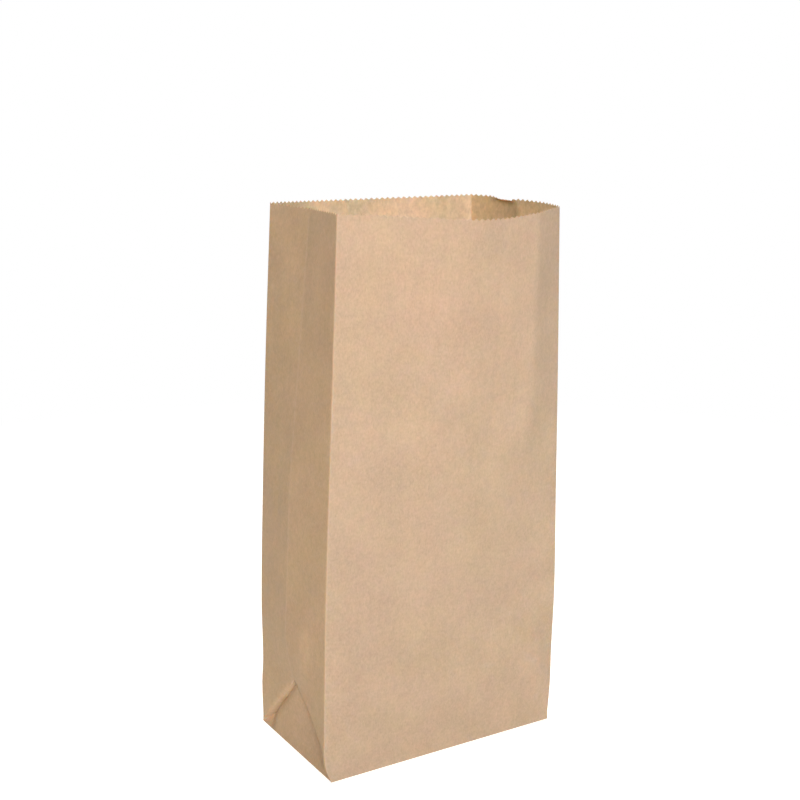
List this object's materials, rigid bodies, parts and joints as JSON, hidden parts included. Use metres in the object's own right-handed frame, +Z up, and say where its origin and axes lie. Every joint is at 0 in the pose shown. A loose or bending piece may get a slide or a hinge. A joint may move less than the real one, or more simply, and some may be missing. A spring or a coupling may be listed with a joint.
{
  "type": "brown paper lunch bag",
  "caption": "Open flat-bottomed gusseted bag folded from one sheet of brown kraft paper, with a pinked rim, a glued back seam and a glued block bottom, for carrying a packed lunch",
  "frame": {"origin": "the middle of the underside of the bottom, on the surface that the bag stands on", "axes": "+Z up to the open mouth, +X along the wide front from its left corner to its right corner as the front is seen, -Y out of the front, which carries the horizontal crease of the bottom fold; the glued seam is on the back at +Y"},
  "size_m": [0.1379, 0.108, 0.2718],
  "materials": {
    "kraft_paper": "matte uncoated brown kraft paper with fine fibres"
  },
  "bodies": {
    "root": {"paper_bag": "kraft_paper"}
  },
  "joints": []
}
